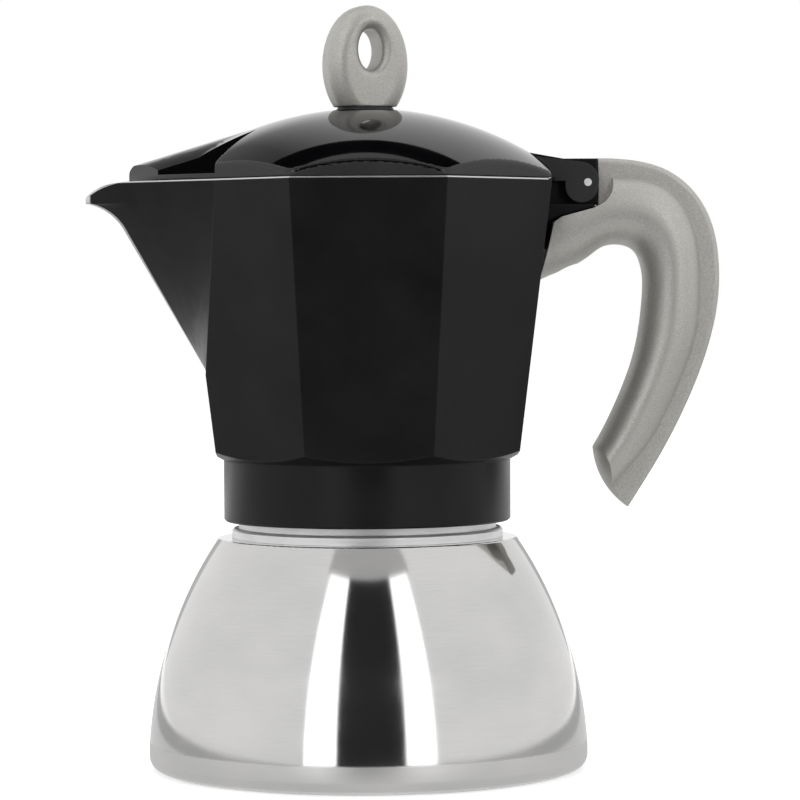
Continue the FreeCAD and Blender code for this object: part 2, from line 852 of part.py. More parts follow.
def grip():
    """Rounded grip: a loft through ellipses that cut the fin's side at the crease."""
    half = handle_width / 2
    share = math.sqrt(1 - (lug_half / half) ** 2)
    sections = []
    for inner, crease in grip_sections:
        (ax, az), (bx, bz) = at_pin([inner, crease])
        span = Vec(bx - ax, 0, bz - az)
        reach = span.Length / (1 + share)
        outward = span.normalize() * reach
        sections.append(ellipse_wire(Vec(ax, 0, az) + outward, outward, ACROSS * half))
    return Part.makeLoft(sections, True, False, False, 3)


def make_handle():
    body = fin().fuse(grip())
    (tip_x, tip_z), = at_pin([tip_middle])
    tip = Vec(tip_x, 0, tip_z)
    heading = Vec(tip_heading[0], 0, tip_heading[1])
    tip_start = tip + heading * (handle_tip_radius / 2)
    beyond = Part.makeCylinder(handle_tip_radius, 2 * handle_tip_radius, tip_start, heading)
    body = body.cut(beyond.cut(Part.makeSphere(handle_tip_radius, tip)))
    front = at_pin(front_gap_line)
    back = collector_foot_apothem / 2
    front_face = side_face(front + [(back, front[-1][1]), (back, front[0][1])])
    body = body.cut(slab(front_face, -handle_width, handle_width))
    body = body.cut(bracket(handle_fit))
    sweep = math.hypot(ear_end_back, ear_end_drop) + ear_end_radius + handle_pocket_gap
    body = body.cut(mirrored(across(sweep, lug_half, handle_width, pin_x, pin_z)))
    screw_x = pin_x - screw_back
    body = body.cut(upright(screw_shank_radius + screw_fit, screw_seat - screw_web, pin_z - tang_drop, screw_x))
    body = body.cut(upright(screw_head_radius + screw_fit, screw_seat - tang_drop, screw_seat, screw_x))
    return max(body.Solids, key=lambda solid: solid.Volume)


def make_handle_screw():
    x = pin_x - screw_back
    head = upright(screw_head_radius, screw_seat - screw_head_height, screw_seat, x)
    shank = upright(screw_shank_radius, screw_seat, pin_z - tang_drop + screw_reach, x)
    return head.fuse(shank)


# Lid

def lid_prism(inset, low, high):
    """Octagonal prism with rounded corners, the lid's plan moved inward by the inset."""
    a = collector_rim_apothem - inset
    t = a * math.tan(math.pi / 8)
    corners = [(-t, -a), (t, -a), (a, -t), (a, t), (t, a), (-t, a), (-a, t), (-a, -t)]
    prism = face_of([Vec(x, y, low) for x, y in corners]).extrude(UP * (high - low))
    return prism.makeFillet(max(lid_corner_round - inset, lid_wall), edges_where(prism, upright_edge))


def crease_plan(inset=0.0):
    """Plan point where the spout leaves the octagon at the rim."""
    a = collector_rim_apothem - inset
    x = a - spout_crease_inset
    return -x, -(a * math.sqrt(2) - x)


def notch(inset, low, high):
    """Space on both sides of the spout cover, where the dome stops."""
    x, y = crease_plan()
    half = cover_half_width - inset
    far = collector_rim_apothem + spout_reach
    plan = [Vec(x + inset, y - inset, low), Vec(x + inset + cover_notch_back, -half, low),
            Vec(-far, -half, low), Vec(-far, -far, low)]
    return mirrored(face_of(plan).extrude(UP * (high - low)))


def dome(inset, low):
    """Ball cap over the octagon, without the part beside the spout cover."""
    ball = Part.makeSphere(lid_dome_radius - inset, Vec(0, 0, dome_centre))
    cap = ball.common(lid_prism(inset, low, lid_apex + lid_rise))
    if inset == 0:
        edge = edges_where(cap, lambda e: e.BoundBox.ZMin > low + lid_gap
                           and e.CenterOfMass.z < lid_apex - lid_rise / 2 and not upright_edge(e))
        cap = cap.makeFillet(lid_edge_round, edge)
    return cap.cut(notch(inset, low - 1, lid_apex + lid_rise))


def cover_plan(inset, low, high):
    """Plan of the spout cover: parallel sides and a pointed nose."""
    nose = collector_rim_apothem + cover_nose_out - inset
    shoulder = collector_rim_apothem + cover_shoulder_out - inset / 2
    half = cover_half_width - inset
    back = cover_ridge_start
    plan = [(-back, -half), (-shoulder, -half), (-nose, 0), (-shoulder, half), (-back, half)]
    return face_of([Vec(x, y, low) for x, y in plan]).extrude(UP * (high - low))


def nose_profile(inset, low):
    """Side outline of the spout cover with its rounded nose, drawn out across the pot."""
    nose = -(collector_rim_apothem + cover_nose_out) + inset
    radius = cover_nose_round
    lean = math.pi / 2 - cover_ridge_angle
    ridge_at_nose = cover_ridge_level - inset - cover_ridge_slope * (-nose - cover_ridge_start)
    centre_x = nose + radius
    centre_z = ridge_at_nose + radius * cover_ridge_slope - radius / math.cos(cover_ridge_angle)
    turn_start = (nose, centre_z)
    turn_end = (centre_x - radius * math.cos(lean), centre_z + radius * math.sin(lean))
    turn_middle = (centre_x - radius * math.cos(lean / 2), centre_z + radius * math.sin(lean / 2))
    top = (0, turn_end[1] - turn_end[0] * cover_ridge_slope)
    points = [Vec(x, 0, z) for x, z in (turn_start, turn_middle, turn_end)]
    edges = [
        Part.Arc(*points).toShape(),
        segment(turn_end, top),
        segment(top, (0, low)),
        segment((0, low), (nose, low)),
        segment((nose, low), turn_start),
    ]
    return slab(Part.Face(Part.Wire(edges)), -2 * cover_half_width, 2 * cover_half_width)


def cover(inset, low):
    """Arched spout cover whose ridge leaves the dome along its slope and is rounded at the nose."""
    ridge = cover_ridge_level - inset
    spring_line = ridge - cover_arch_rise
    half = cover_half_width - inset
    start = cover_ridge_start
    bottom = spring_line - lid_rise * 2
    edges = [
        Part.Arc(Vec(-start, -half, spring_line), Vec(-start, 0, ridge),
                 Vec(-start, half, spring_line)).toShape(),
        Part.makeLine(Vec(-start, half, spring_line), Vec(-start, half, bottom)),
        Part.makeLine(Vec(-start, half, bottom), Vec(-start, -half, bottom)),
        Part.makeLine(Vec(-start, -half, bottom), Vec(-start, -half, spring_line)),
    ]
    section = Part.Face(Part.Wire(edges))
    run = Vec(-1, 0, -cover_ridge_slope)
    reach = cover_nose_out + collector_rim_apothem
    arched = section.extrude(run * reach).common(cover_plan(inset, low, lid_apex))
    return arched.common(nose_profile(inset, low))


def lid_flange_plate():
    """Flat flange that closes the spout beside its cover."""
    x, y = crease_plan()
    nose = collector_rim_apothem + cover_nose_out
    shoulder = collector_rim_apothem + cover_shoulder_out
    plain = plain_keel(rim_level)
    side = y * (plain - shoulder) / (plain + x)
    plan = [(0, y), (x, y), (-shoulder, side), (-nose, 0), (-shoulder, -side), (x, -y), (0, -y)]
    return face_of([Vec(px, py, lid_level) for px, py in plan]).extrude(UP * lid_flange)


def ears():
    """Two hinge ears that run from the dome to the pin."""
    end_x = -ear_end_back
    end_z = -ear_end_drop
    radius = ear_end_radius
    under = lid_level + lid_gap - pin_z
    skirt = lid_gap - pin_out + 1
    top = (end_x, ear_rise)
    right = (end_x + radius, end_z)
    shoulder = (end_x + radius * 0.78, (ear_rise + end_z) / 2 + radius * 0.35)
    low = (end_x, end_z - radius)
    left = (end_x - radius, end_z)
    heel = (end_x - radius, ear_arm_rise)
    root_low = (-ear_root_back, under)
    root_high = (-ear_root_back, ear_root_rise)
    p = {name: at_pin([point])[0] for name, point in {
        "top": top, "right": right, "shoulder": shoulder, "low": low, "left": left, "heel": heel,
        "arm": (skirt, ear_arm_rise), "skirt": (skirt, under), "root_low": root_low,
        "root_high": root_high}.items()}

    def vec(name):
        return Vec(p[name][0], 0, p[name][1])

    half_turn = Vec(pin_x + end_x, 0, pin_z + end_z - radius)
    edges = [
        segment(p["root_high"], p["top"]),
        Part.Arc(vec("top"), vec("shoulder"), vec("right")).toShape(),
        Part.Arc(vec("right"), half_turn, vec("left")).toShape(),
        segment(p["left"], p["heel"]),
        segment(p["heel"], p["arm"]),
        segment(p["arm"], p["skirt"]),
        segment(p["skirt"], p["root_low"]),
        segment(p["root_low"], p["root_high"]),
    ]
    outline = Part.Face(Part.Wire(edges))
    ear = slab(outline, ear_inner, ear_outer)
    return mirrored(ear.cut(across(pin_radius + pin_running_fit, 0, 2 * ear_outer, pin_x, pin_z)))


def make_lid():
    shell = dome(0, lid_level)
    seat = upright(knob_seat_radius, lid_apex - lid_wall, lid_apex)
    body = shell.fuse(cover(0, lid_level)).fuse(lid_flange_plate()).fuse(ears()).fuse(seat)
    hollow = dome(lid_wall, lid_level - 1).fuse(cover(lid_wall, lid_level - 1))
    body = body.cut(hollow)
    return body.cut(upright(knob_screw_radius + screw_fit, lid_level, lid_apex + 1))


# Knob

def ellipse_slab(half_x, half_z, centre_z, depth):
    """Elliptic prism along Y."""
    centre = Vec(0, -depth / 2, centre_z)
    ellipse = Part.Ellipse(centre + UP * half_z, centre + Vec(half_x, 0, 0), centre)
    return Part.Face(Part.Wire(ellipse.toShape())).extrude(ACROSS * depth)


def make_knob():
    body = ellipse_slab(knob_half_width, knob_half_height, knob_middle, knob_thickness)
    rims = edges_where(body, lambda e: isinstance(e.Curve, Part.Ellipse))
    body = body.makeFillet(knob_edge_round, rims)
    hole_level = knob_top - knob_hole_drop
    hole = ellipse_slab(knob_hole_half_width, knob_hole_half_height, hole_level, knob_thickness)
    body = body.cut(hole)
    mouths = edges_where(body, lambda e: isinstance(e.Curve, Part.Ellipse)
                         and abs(e.Curve.MajorRadius - knob_hole_half_height) < 1e-4)
    body = body.makeFillet(knob_hole_round, mouths)
    under = Part.makeBox(4 * knob_half_width, 4 * knob_half_width, knob_height,
                         Vec(-2 * knob_half_width, -2 * knob_half_width, knob_foot - knob_height))
    body = body.cut(under)
    screw_end = knob_foot + knob_screw_reach + screw_fit
    body = body.cut(upright(knob_screw_radius + screw_fit, knob_foot - 1, screw_end))
    body.rotate(Vec(0, 0, 0), UP, knob_turn)
    return body


def make_knob_washer():
    return tube(knob_washer_radius, knob_screw_radius + screw_fit, lid_apex, knob_foot)


def make_knob_screw():
    inside = lid_apex - lid_wall - screw_fit
    sag = lid_dome_radius - math.sqrt(lid_dome_radius ** 2 - knob_screw_head_radius ** 2)
    seat = inside - sag
    head = upright(knob_screw_head_radius, seat - knob_screw_head_height, seat)
    shank = upright(knob_screw_radius, seat - knob_screw_head_height, knob_foot + knob_screw_reach)
    return head.fuse(shank)


parts = {
    "boiler_shell": make_boiler_shell,
    "boiler_liner": make_boiler_liner,
    "valve_body": make_valve_body,
    "valve_washer": make_valve_washer,
    "valve_nut": make_valve_nut,
    "valve_piston": make_valve_piston,
    "valve_cap": make_valve_cap,
    "valve_spring": make_valve_spring,
    "funnel": make_funnel,
    "funnel_plate": make_funnel_plate,
    "gasket": make_gasket,
    "filter_plate": make_filter_plate,
    "collector": make_collector,
    "hinge_pin": make_hinge_pin,
    "handle": make_handle,
    "handle_screw": make_handle_screw,
    "lid": make_lid,
    "knob": make_knob,
    "knob_washer": make_knob_washer,
    "knob_screw": make_knob_screw,
}

os.makedirs("parts", exist_ok=True)
for name, make in parts.items():
    shape = make()
    box = shape.BoundBox
    print("%-14s solids %d valid %s volume %.1f  x %.2f..%.2f  y %.2f..%.2f  z %.2f..%.2f" % (
        name, len(shape.Solids), shape.isValid(), shape.Volume,
        box.XMin, box.XMax, box.YMin, box.YMax, box.ZMin, box.ZMax))
    shape.exportStep("parts/%s.step" % name)
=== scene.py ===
import math

import bmesh
import bpy
from mathutils import Matrix, Vector


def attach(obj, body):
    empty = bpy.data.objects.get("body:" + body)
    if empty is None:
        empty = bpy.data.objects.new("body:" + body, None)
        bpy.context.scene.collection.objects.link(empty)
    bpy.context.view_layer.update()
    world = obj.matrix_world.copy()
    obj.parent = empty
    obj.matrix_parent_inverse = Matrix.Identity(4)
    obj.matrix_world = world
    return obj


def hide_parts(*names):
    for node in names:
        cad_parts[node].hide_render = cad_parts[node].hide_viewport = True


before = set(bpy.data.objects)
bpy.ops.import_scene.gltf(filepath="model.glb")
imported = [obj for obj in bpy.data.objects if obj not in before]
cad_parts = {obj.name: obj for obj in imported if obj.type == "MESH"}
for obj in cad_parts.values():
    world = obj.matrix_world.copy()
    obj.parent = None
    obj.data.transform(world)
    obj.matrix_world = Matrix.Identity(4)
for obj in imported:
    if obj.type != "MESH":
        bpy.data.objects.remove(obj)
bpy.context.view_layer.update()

# Looks of a stove-top moka pot: metres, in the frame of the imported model.

scene = bpy.context.scene
scene.view_settings.view_transform = "Standard"

# Sizes repeated from the part, for shading and for telling its surfaces apart
BELL_CENTRE = (-0.050527, -0.000224)
BELL_RADIUS = 0.108456
BELL_INSIDE = 0.0395
BELL_FOOT = 0.0060
BASE_ROUND = 0.0035
BASE_RADIUS = 0.05775
POLISH_START = 0.0072
POLISH_FULL = 0.0078
DOME_CENTRE = Vector((0, 0, 0.0881))
DOME_RADIUS = 0.0850
LID_SHEET = 0.0015
LID_BACK_X = 0.043
LID_BAND_X = -0.045
LID_COVER_X = -0.036
RIM = 0.1541
RIM_DEPTH = 0.0004
WALL_X = 0.0475
EAR_X = 0.0478
FLARE_X = -0.055
LIP_X = -0.0600
LIP_LEVEL = 0.1466
FLOOR_LEVEL = 0.0872
CEILING = 0.0842
BORE = 0.0345
COLUMN = 0.0095
COLLAR_TOP = 0.0811
KEEL_HALF = 0.0016


# Shader building blocks

def new_material(name, color, metallic, roughness):
    made = bpy.data.materials.new(name)
    made.use_nodes = True
    shader = made.node_tree.nodes["Principled BSDF"]
    shader.inputs["Base Color"].default_value = (*color, 1)
    shader.inputs["Metallic"].default_value = metallic
    shader.inputs["Roughness"].default_value = roughness
    return made, made.node_tree, shader


def add(tree, kind, **values):
    made = tree.nodes.new(kind)
    for key, value in values.items():
        made.inputs[key.replace("_", " ")].default_value = value
    return made


def stretched(tree, scale):
    """Object coordinates scaled by (x, y, z)."""
    place = tree.nodes.new("ShaderNodeTexCoord")
    mapping = add(tree, "ShaderNodeMapping", Scale=scale)
    tree.links.new(place.outputs["Object"], mapping.inputs["Vector"])
    return mapping.outputs["Vector"]


def noise(tree, scale, detail=2.0, rough=0.5):
    """Noise over the stretched object coordinates."""
    made = add(tree, "ShaderNodeTexNoise", Scale=1.0, Detail=detail, Roughness=rough)
    tree.links.new(stretched(tree, scale), made.inputs["Vector"])
    return made.outputs["Fac"]


def ramp(tree, source, low, high, out_low, out_high):
    """Source mapped from low..high to out_low..out_high."""
    made = add(tree, "ShaderNodeMapRange", From_Min=low, From_Max=high, To_Min=out_low, To_Max=out_high)
    tree.links.new(source, made.inputs["Value"])
    return made.outputs["Result"]


def two_tone(tree, shader, source, low, high, dark, light):
    """Base colour between two tones, led by a source value."""
    made = tree.nodes.new("ShaderNodeMix")
    made.data_type = "RGBA"
    made.inputs[6].default_value = (*dark, 1)
    made.inputs[7].default_value = (*light, 1)
    tree.links.new(ramp(tree, source, low, high, 0.0, 1.0), made.inputs[0])
    tree.links.new(made.outputs[2], shader.inputs["Base Color"])


def bump(tree, shader, source, distance, strength=1.0, edge=0.0):
    """Bump from a source value, over edges softened by the given radius."""
    made = add(tree, "ShaderNodeBump", Strength=strength, Distance=distance)
    tree.links.new(source, made.inputs["Height"])
    if edge:
        soft = add(tree, "ShaderNodeBevel", Radius=edge)
        soft.samples = 6
        tree.links.new(soft.outputs["Normal"], made.inputs["Normal"])
    tree.links.new(made.outputs["Normal"], shader.inputs["Normal"])


def axes(tree):
    """Object coordinates as separate X, Y and Z sockets; Z is the height above the table."""
    place = tree.nodes.new("ShaderNodeTexCoord")
    split = tree.nodes.new("ShaderNodeSeparateXYZ")
    tree.links.new(place.outputs["Object"], split.inputs["Vector"])
    return split.outputs


def arithmetic(tree, operation, first, second):
    """Math node on a socket and a socket or number."""
    made = tree.nodes.new("ShaderNodeMath")
    made.operation = operation
    tree.links.new(first, made.inputs[0])
    if isinstance(second, (int, float)):
        made.inputs[1].default_value = second
    else:
        tree.links.new(second, made.inputs[1])
    return made.outputs["Value"]


# Materials

def polished_steel():
    made, tree, shader = new_material("polished_steel", (0.58, 0.58, 0.58), 1.0, 0.1)
    lines = noise(tree, (160, 160, 9000), 3.0, 0.6)
    cloud = noise(tree, (35, 35, 60), 2.0)
    satin = ramp(tree, axes(tree)["Z"], POLISH_START, POLISH_FULL, 0.26, 0.0)
    rough = ramp(tree, cloud, 0.3, 0.7, 0.06, 0.11)
    tree.links.new(arithmetic(tree, "ADD", satin, rough), shader.inputs["Roughness"])
    soft = arithmetic(tree, "MULTIPLY", cloud, 0.5)
    tone = arithmetic(tree, "ADD", soft, arithmetic(tree, "MULTIPLY", lines, 0.3))
    two_tone(tree, shader, tone, 0.2, 0.6, (0.53, 0.53, 0.53), (0.66, 0.65, 0.64))
    bump(tree, shader, lines, 0.000003, 0.4)
    return made


def bare_aluminium(name="bare_aluminium", tone=0.86, lines=5000):
    made, tree, shader = new_material(name, (tone, tone, tone), 1.0, 0.5)
    turned = noise(tree, (90, 90, lines), 3.0, 0.6)
    cloud = noise(tree, (120, 120, 120), 4.0)
    two_tone(tree, shader, cloud, 0.3, 0.7, (tone - 0.06,) * 3, (tone + 0.04,) * 3)
    tree.links.new(ramp(tree, turned, 0.3, 0.7, 0.42, 0.58), shader.inputs["Roughness"])
    bump(tree, shader, turned, 0.00002, 0.5, 0.0003)
    return made


def bare_rim_and_keel_highlight(tree):
    """1 on the ground rim, which is bare metal, and along the spout's keel, where the bright strip is a
    painted highlight; 0 on the enamel.
    """
    place = axes(tree)
    top = ramp(tree, place["Z"], RIM - RIM_DEPTH, RIM - 0.0003, 0.0, 1.0)
    rim = arithmetic(tree, "MULTIPLY", top, ramp(tree, place["X"], 0.0465, 0.0470, 1.0, 0.0))
    side = arithmetic(tree, "ABSOLUTE", place["Y"], 0.0)
    # The keel strip is a painted highlight: bright bare-metal colour stands in for light on the rounded keel.
    keel = ramp(tree, side, KEEL_HALF, KEEL_HALF + 0.0003, 1.0, 0.0)
    spout = ramp(tree, place["X"], -0.0425, -0.0415, 1.0, 0.0)
    return arithmetic(tree, "MAXIMUM", rim, arithmetic(tree, "MULTIPLY", keel, spout))


def black_enamel():
    made, tree, shader = new_material("black_enamel", (0.009, 0.009, 0.010), 0.0, 0.3)
    shader.inputs["Specular IOR Level"].default_value = 0.2
    peel = noise(tree, (1400, 1400, 1400), 2.0)
    cloud = noise(tree, (60, 60, 60), 3.0)
    bare_and_highlight = bare_rim_and_keel_highlight(tree)
    # Where the mask is 1 the enamel turns bright and metallic: real bare metal on the ground rim, a painted
    # highlight along the keel.
    coat_and_highlight = arithmetic(tree, "ADD", ramp(tree, cloud, 0.3, 0.7, 0.0, 0.005), bare_and_highlight)
    two_tone(tree, shader, coat_and_highlight, 0.0, 1.0, (0.006, 0.006, 0.007), (0.7, 0.7, 0.7))
    tree.links.new(bare_and_highlight, shader.inputs["Metallic"])
    tree.links.new(ramp(tree, cloud, 0.3, 0.7, 0.3, 0.38), shader.inputs["Roughness"])
    bump(tree, shader, peel, 0.000012, 0.35, 0.0005)
    return made


def black_gloss():
    made, tree, shader = new_material("black_gloss", (0.0025, 0.0025, 0.003), 0.0, 0.06)
    peel = noise(tree, (500, 500, 500), 2.0)
    cloud = noise(tree, (50, 50, 50), 3.0)
    two_tone(tree, shader, cloud, 0.3, 0.7, (0.002, 0.002, 0.0025), (0.003, 0.003, 0.0035))
    tree.links.new(ramp(tree, cloud, 0.3, 0.7, 0.035, 0.07), shader.inputs["Roughness"])
    bump(tree, shader, peel, 0.000006, 0.2, 0.0002)
    return made


def black_satin():
    made, tree, shader = new_material("black_satin", (0.011, 0.011, 0.012), 0.0, 0.45)
    peel = noise(tree, (1400, 1400, 1400), 2.0)
    cloud = noise(tree, (60, 60, 60), 3.0)
    two_tone(tree, shader, cloud, 0.3, 0.7, (0.009, 0.009, 0.01), (0.014, 0.014, 0.015))
    tree.links.new(ramp(tree, cloud, 0.3, 0.7, 0.4, 0.5), shader.inputs["Roughness"])
    bump(tree, shader, peel, 0.000012, 0.35, 0.0004)
    return made


def soft_grey():
    made, tree, shader = new_material("soft_grey", (0.5, 0.49, 0.46), 0.65, 0.48)
    flake = noise(tree, (4200, 4200, 4200), 2.0, 0.7)
    cloud = noise(tree, (90, 90, 90), 3.0)
    two_tone(tree, shader, flake, 0.32, 0.68, (0.39, 0.38, 0.355), (0.61, 0.60, 0.57))
    tree.links.new(ramp(tree, cloud, 0.3, 0.7, 0.44, 0.52), shader.inputs["Roughness"])
    bump(tree, shader, flake, 0.00003, 0.5, 0.0004)
    return made


def brass():
    made, tree, shader = new_material("brass", (0.72, 0.52, 0.23), 1.0, 0.28)
    turned = noise(tree, (3000, 600, 600), 3.0)
    cloud = noise(tree, (200, 200, 200), 3.0)
    two_tone(tree, shader, cloud, 0.3, 0.7, (0.64, 0.44, 0.18), (0.78, 0.58, 0.28))
    tree.links.new(ramp(tree, turned, 0.3, 0.7, 0.2, 0.36), shader.inputs["Roughness"])
    bump(tree, shader, turned, 0.00001, 0.5, 0.0002)
    return made


def bright_steel():
    made, tree, shader = new_material("bright_steel", (0.86, 0.86, 0.87), 1.0, 0.6)
    lines = noise(tree, (2500, 300, 2500), 2.0)
    two_tone(tree, shader, lines, 0.3, 0.7, (0.8, 0.8, 0.81), (0.92, 0.92, 0.93))
    tree.links.new(ramp(tree, lines, 0.3, 0.7, 0.52, 0.68), shader.inputs["Roughness"])
    bump(tree, shader, lines, 0.000008, 0.5, 0.0002)
    return made


def rubbery(name, dark, light):
    made, tree, shader = new_material(name, light, 0.0, 0.55)
    grain = noise(tree, (1800, 1800, 1800), 3.0)
    two_tone(tree, shader, grain, 0.3, 0.7, dark, light)
    tree.links.new(ramp(tree, grain, 0.3, 0.7, 0.5, 0.65), shader.inputs["Roughness"])
    bump(tree, shader, grain, 0.00002, 0.4, 0.0002)
    return made


STEEL = polished_steel()
ALUMINIUM = bare_aluminium()
CAST = bare_aluminium("cast_aluminium", 0.7, 900)
ENAMEL = black_enamel()
GLOSS = black_gloss()
SATIN = black_satin()
GREY = soft_grey()
BRASS = brass()
BRIGHT = bright_steel()
SILICONE = rubbery("silicone", (0.76, 0.76, 0.73), (0.84, 0.84, 0.82))
FIBRE = rubbery("fibre", (0.26, 0.09, 0.06), (0.36, 0.14, 0.1))
BLACK = rubbery("black_washer", (0.012, 0.012, 0.012), (0.022, 0.022, 0.022))


# Pieces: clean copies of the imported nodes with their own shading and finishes

def outward(point):
    flat = Vector((point.x, point.y, 0))
    return flat.normalized() if flat.length > 1e-9 else Vector((1, 0, 0))


def bell_normal(point, face_normal):
    """True normal of the boiler's outside, or None on its other faces."""
    out = outward(point)
    radius = math.hypot(point.x, point.y)
    if face_normal.dot(out) < 0.1 or radius < BELL_INSIDE:
        return None
    if point.z > BELL_FOOT:
        bell = Vector((radius - BELL_CENTRE[0], point.z - BELL_CENTRE[1]))
        if abs(bell.length - BELL_RADIUS) > 0.0003:
            return None
    elif point.z > BASE_ROUND:
        bell = Vector((1, 0))
    else:
        bell = Vector((radius - BASE_RADIUS + BASE_ROUND, point.z - BASE_ROUND))
    bell.normalize()
    return out * bell.x + Vector((0, 0, bell.y))


def dome_normal(point, face_normal):
    """True normal of the lid's ball cap, outside or inside, or None elsewhere."""
    from_centre = point - DOME_CENTRE
    above = from_centre.length - DOME_RADIUS
    near = min(abs(above), abs(above + LID_SHEET))
    from_centre.normalize()
    facing = from_centre.dot(face_normal)
    if near > 0.00012 or abs(facing) < 0.97:
        return None
    return from_centre if facing > 0 else -from_centre


def collector_finish(face):
    """0 on enamelled faces, 1 on bare ones: the inside, the rim's top and the ground lip."""
    centre = face.calc_center_median()
    radius = math.hypot(centre.x, centre.y)
    facing = face.normal.dot(outward(centre))
    if centre.x > WALL_X:
        return 0
    if centre.z < CEILING and radius < BORE:
        return 1
    if centre.z > FLOOR_LEVEL - 0.001 and (facing < -0.02 or radius < COLUMN):
        return 1
    if face.normal.z > 0.9 and (centre.z < FLOOR_LEVEL or abs(centre.z - RIM) < RIM_DEPTH):
        return 1
    return int(centre.x < LIP_X and centre.z > LIP_LEVEL and face.normal.z > 0.3)


def lid_finish(face):
    """0 on glossy faces, 1 on the bare underside, 2 on the edge band and the hinge ears."""
    centre = face.calc_center_median()
    facing = face.normal.dot(outward(centre))
    upright = abs(face.normal.z) < 0.2
    if centre.x > EAR_X or (facing > 0.8 and upright and centre.x > LID_BAND_X):
        return 2
    if centre.x > LID_BACK_X or centre.z < RIM + RIM_DEPTH:
        return 0
    return int(face.normal.z < -0.15 or (facing < -0.3 and upright and centre.x > LID_COVER_X))


def collector_angle(polygon):
    """The octagon's flat sides stay flat; the spout's flare and everything turned is smooth."""
    centre = polygon.center
    if centre.x < FLARE_X:
        return 26
    out = polygon.normal.dot(outward(centre)) > 0.2 and centre.z > COLLAR_TOP and centre.x < WALL_X
    return 5 if out and math.hypot(centre.x, centre.y) > COLUMN * 2 else 28


def soft_normals(mesh, angle):
    """Corner normals averaged by area over the faces round a point that lie within an angle of each other."""
    around = [[] for _ in mesh.vertices]
    facing = []
    weighted = []
    for polygon in mesh.polygons:
        facing.append(polygon.normal.copy())
        weighted.append(polygon.normal * polygon.area)
        for vertex in polygon.vertices:
            around[vertex].append(polygon.index)
    normals = []
    for polygon in mesh.polygons:
        own = facing[polygon.index]
        limit = math.cos(math.radians(angle(polygon) if callable(angle) else angle))
        for vertex in polygon.vertices:
            total = weighted[polygon.index].copy()
            for other in around[vertex]:
                if other != polygon.index and own.dot(facing[other]) > limit:
                    total += weighted[other]
            normals.append(total.normalized() if total.length > 0 else own)
    return normals


def dress(name, body, finishes, angle=28, pick=None, true_normal=None):
    """Piece that stands for a node: merged points, smooth shading up to an angle, one or more finishes."""
    work = bmesh.new()
    work.from_mesh(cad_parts[name].data)
    bmesh.ops.remove_doubles(work, verts=work.verts, dist=2e-6)
    work.normal_update()
    for face in work.faces:
        face.smooth = True
        face.material_index = pick(face) if pick else 0
    mesh = bpy.data.meshes.new("look_" + name)
    work.to_mesh(mesh)
    work.free()
    for finish in finishes:
        mesh.materials.append(finish)
    normals = soft_normals(mesh, angle)
    if true_normal:
        for polygon in mesh.polygons:
            for loop in polygon.loop_indices:
                point = mesh.vertices[mesh.loops[loop].vertex_index].co
                found = true_normal(point, polygon.normal)
                if found is not None:
                    normals[loop] = found
    mesh.normals_split_custom_set(normals)
    piece = bpy.data.objects.new("look_" + name, mesh)
    scene.collection.objects.link(piece)
    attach(piece, body)
    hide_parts(name)


dress("boiler_shell", "boiler", [STEEL], 35, None, bell_normal)
dress("boiler_liner", "boiler", [ALUMINIUM])
dress("valve_body", "boiler", [BRASS])
dress("valve_washer", "boiler", [FIBRE])
dress("valve_nut", "boiler", [BRASS])
dress("valve_cap", "boiler", [BRASS])
dress("valve_spring", "boiler", [BRIGHT], 60)
dress("valve_piston", "plunger", [BRASS])
dress("funnel", "funnel", [ALUMINIUM])
dress("funnel_plate", "funnel", [ALUMINIUM])
dress("gasket", "gasket", [SILICONE])
dress("filter_plate", "filter", [ALUMINIUM])
dress("collector", "collector", [ENAMEL, CAST], collector_angle, collector_finish)
dress("handle", "collector", [GREY], 40)
dress("handle_screw", "collector", [BRIGHT])
dress("hinge_pin", "collector", [BRIGHT])
dress("lid", "lid", [GLOSS, CAST, SATIN], 24, lid_finish, dome_normal)
dress("knob", "lid", [GREY], 50)
dress("knob_washer", "lid", [BLACK])
dress("knob_screw", "lid", [BRIGHT])


# Camera, where the photograph was taken from

def place_camera():
    data = bpy.data.cameras.new("camera")
    data.sensor_width = 36
    data.lens = 157.32
    ahead = Vector((0.02354, 0.99913, -0.03453))
    right = Vector((0.99970, -0.02374, -0.00529))
    up = right.cross(ahead)
    camera = bpy.data.objects.new("camera", data)
    turn = Matrix((right, up, -ahead)).transposed().to_4x4()
    camera.matrix_world = Matrix.Translation((-0.01293, -0.91991, 0.12832)) @ turn
    scene.collection.objects.link(camera)
    scene.camera = camera


# Floor, backdrop and studio light

BALL_RISE = 0.02
STRIP_REACH = 1.6
FRONT_REACH = 1.62
HIGH_REACH = 1.61
BACK_REACH = 1.7
CARD_LEVEL = 0.001
FRONT_CARD_LEVEL = 0.002


def glow(name, strength):
    made = bpy.data.materials.new(name)
    made.use_nodes = True
    tree = made.node_tree
    tree.nodes.clear()
    light = add(tree, "ShaderNodeEmission", Strength=strength)
    out = tree.nodes.new("ShaderNodeOutputMaterial")
    tree.links.new(light.outputs["Emission"], out.inputs["Surface"])
    return made


def fading_glow(name, depth):
    """White glow that fades by a depth towards its middle, without hard edges."""
    made = glow(name, 1.0)
    tree = made.node_tree
    place = axes(tree)
    near = ramp(tree, place["X"], -0.05, -0.4, 0.0, depth)
    far = ramp(tree, place["X"], -0.7, -0.95, 1.0, 0.0)
    low = ramp(tree, place["Z"], 0.71, 0.97, 0.0, 1.0)
    fade = arithmetic(tree, "MULTIPLY", arithmetic(tree, "MULTIPLY", near, far), low)
    strength = ramp(tree, fade, 0.0, 1.0, 1.0, 0.0)
    tree.links.new(strength, tree.nodes["Emission"].inputs["Strength"])
    return made


def hide_card(panel, diffuse):
    """Card that only reflections see, and diffuse light where it is a lamp."""
    panel.visible_camera = False
    panel.visible_shadow = False
    panel.visible_diffuse = diffuse
    scene.collection.objects.link(panel)


